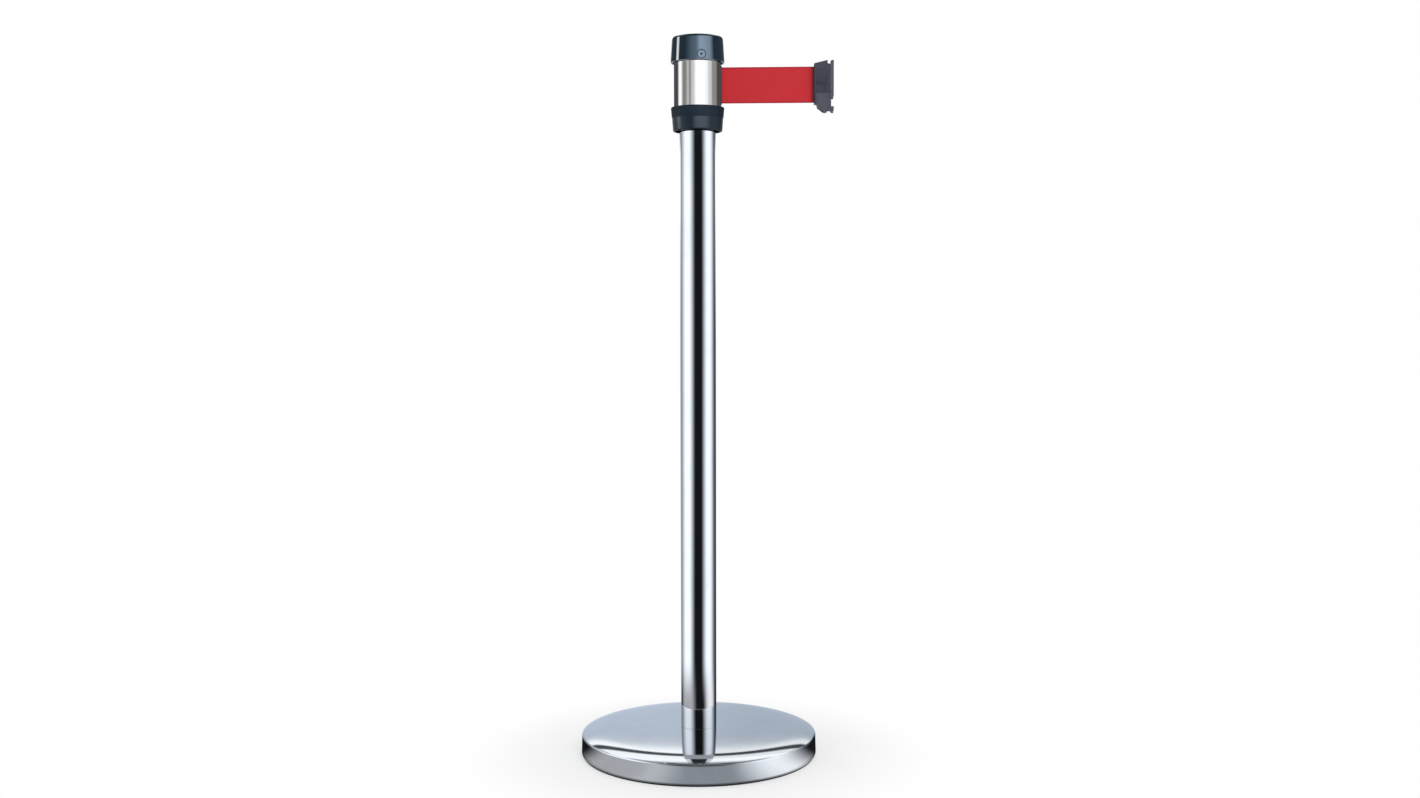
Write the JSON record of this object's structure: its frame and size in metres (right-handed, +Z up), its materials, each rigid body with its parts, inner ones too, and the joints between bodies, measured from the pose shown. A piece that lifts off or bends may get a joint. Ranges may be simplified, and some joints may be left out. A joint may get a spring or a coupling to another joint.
{
  "type": "retractable belt stanchion",
  "caption": "Free-standing queue barrier post with a weighted round base, a steel post and a head that holds a spring-wound belt with a clip on its end.",
  "frame": {"origin": "on the floor at the post's axis", "axes": "+Z up along the post, +X the way the belt is drawn out, -Y the side with the cap's small mark"},
  "size_m": [0.3419, 0.32, 0.97],
  "materials": {
    "polished_steel": "mirror-polished stainless steel",
    "plain_steel": "plain machined steel",
    "spring_steel": "bare spring steel",
    "iron_weight": "rough casting with dark paint",
    "cast_plug": "plain casting",
    "rubber_pad": "matt black rubber",
    "black_cap": "glossy black moulding",
    "black_collar": "satin black moulding",
    "black_moulding": "matt black moulding",
    "pale_nylon": "pale nylon moulding",
    "grey_clip": "satin dark grey moulding",
    "red_webbing": "woven polyester webbing",
    "brake_felt": "pressed felt"
  },
  "bodies": {
    "post_and_head": {"floor_pad": "rubber_pad", "base_weight": "iron_weight", "base_cover": "polished_steel", "base_bolt": "plain_steel", "base_washer": "plain_steel", "base_spring_washer": "spring_steel", "post_tube": "polished_steel", "post_foot_plug": "plain_steel", "head_plug": "cast_plug", "plug_screw_1": "plain_steel", "plug_screw_2": "plain_steel", "plug_screw_3": "plain_steel", "collar": "black_collar", "head_sleeve": "polished_steel", "outlet_bezel": "black_moulding", "cassette_housing": "black_moulding", "cassette_lid": "black_moulding", "top_plate": "plain_steel", "spindle": "plain_steel", "spindle_nut": "plain_steel", "thrust_washer": "pale_nylon", "power_spring": "spring_steel", "drag_felt": "brake_felt", "drag_plate": "plain_steel", "drag_spring": "spring_steel", "guide_roller_pin": "plain_steel", "belt_lead": "red_webbing", "cap": "black_cap", "cap_set_screw": "plain_steel"},
    "belt_and_clip": {"belt_tape": "red_webbing", "belt_end_loop": "red_webbing", "belt_pin": "plain_steel", "clip_body": "grey_clip", "latch_spring": "spring_steel"},
    "clip_latch": {"latch": "grey_clip"},
    "belt_drum": {"drum": "pale_nylon", "spring_cover": "plain_steel", "belt_roll": "red_webbing"},
    "outlet_roller": {"guide_roller": "pale_nylon"}
  },
  "joints": [
    {"name": "belt_pull", "type": "slide", "parent": "post_and_head", "child": "belt_and_clip", "axis": [1, 0, 0], "range_m": [-0.119, 1.876], "deforming": ["belt_tape"]},
    {"name": "latch_slide", "type": "slide", "parent": "belt_and_clip", "child": "clip_latch", "axis": [0, 0, 1], "range_m": [0, 0.0103], "deforming": ["latch_spring"]},
    {"name": "drum_spin", "type": "hinge", "parent": "post_and_head", "child": "belt_drum", "pos_m": [-0.0025, 0, 0.9064], "axis": [0, 0, 1], "continuous": true, "deforming": ["power_spring"]},
    {"name": "roller_spin", "type": "hinge", "parent": "post_and_head", "child": "outlet_roller", "pos_m": [0.02639, -0.0029, 0.9064], "axis": [0, 0, 1], "continuous": true}
  ],
  "couplings": [
    {"joint": "drum_spin", "follows": "belt_pull", "rad_per_m": 60},
    {"joint": "roller_spin", "follows": "belt_pull", "rad_per_m": -384.6}
  ]
}
